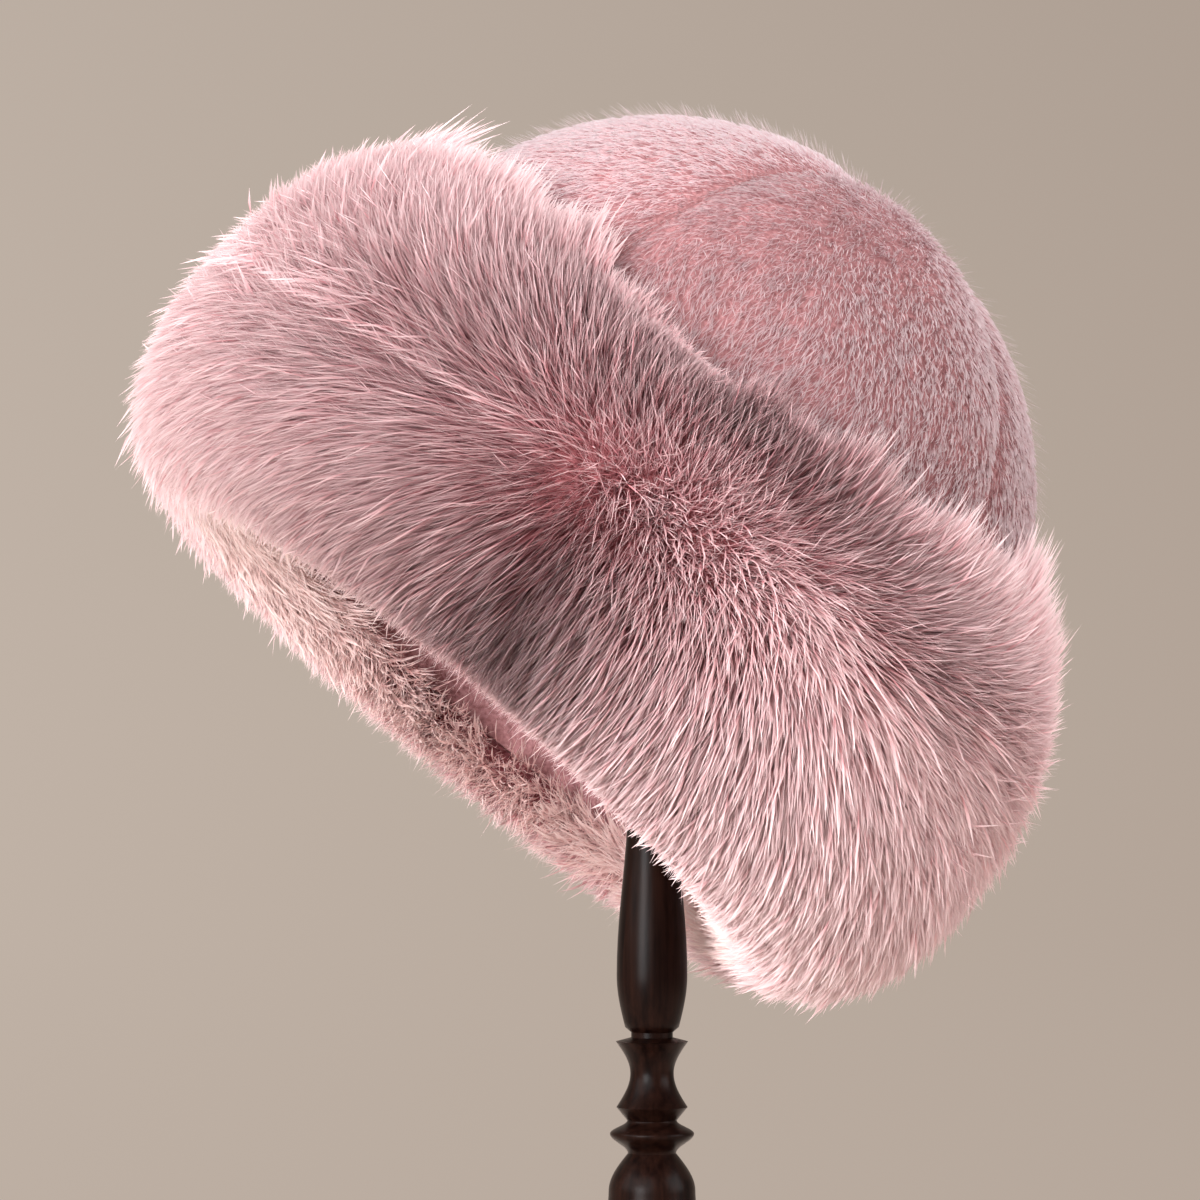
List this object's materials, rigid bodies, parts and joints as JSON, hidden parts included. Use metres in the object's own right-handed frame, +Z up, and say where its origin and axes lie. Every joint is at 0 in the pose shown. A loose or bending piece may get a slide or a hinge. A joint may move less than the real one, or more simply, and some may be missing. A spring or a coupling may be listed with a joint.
{
  "type": "fur hat on a turned hat stand",
  "caption": "Plush gored fur hat with a deep fur cuff, open underneath, tilted on the domed head of a turned dark wood hat stand.",
  "frame": {"origin": "centre of the stand base's flat underside, on the surface that it stands on", "axes": "+Z up along the stand's turned axis, +X to the hat's low side as the picture shows it on the right, +Y away from the viewer"},
  "size_m": [0.2542, 0.276, 0.3899],
  "materials": {
    "plush": "short combed plush",
    "long_fur": "long soft fur",
    "dark_wood": "satin"
  },
  "bodies": {
    "root": {"crown_panel_front": "plush", "crown_panel_right": "plush", "crown_panel_back": "plush", "crown_panel_left": "plush", "fur_cuff": "long_fur", "stand_head": "dark_wood", "stand_spindle": "dark_wood", "stand_base": "dark_wood"}
  },
  "joints": []
}
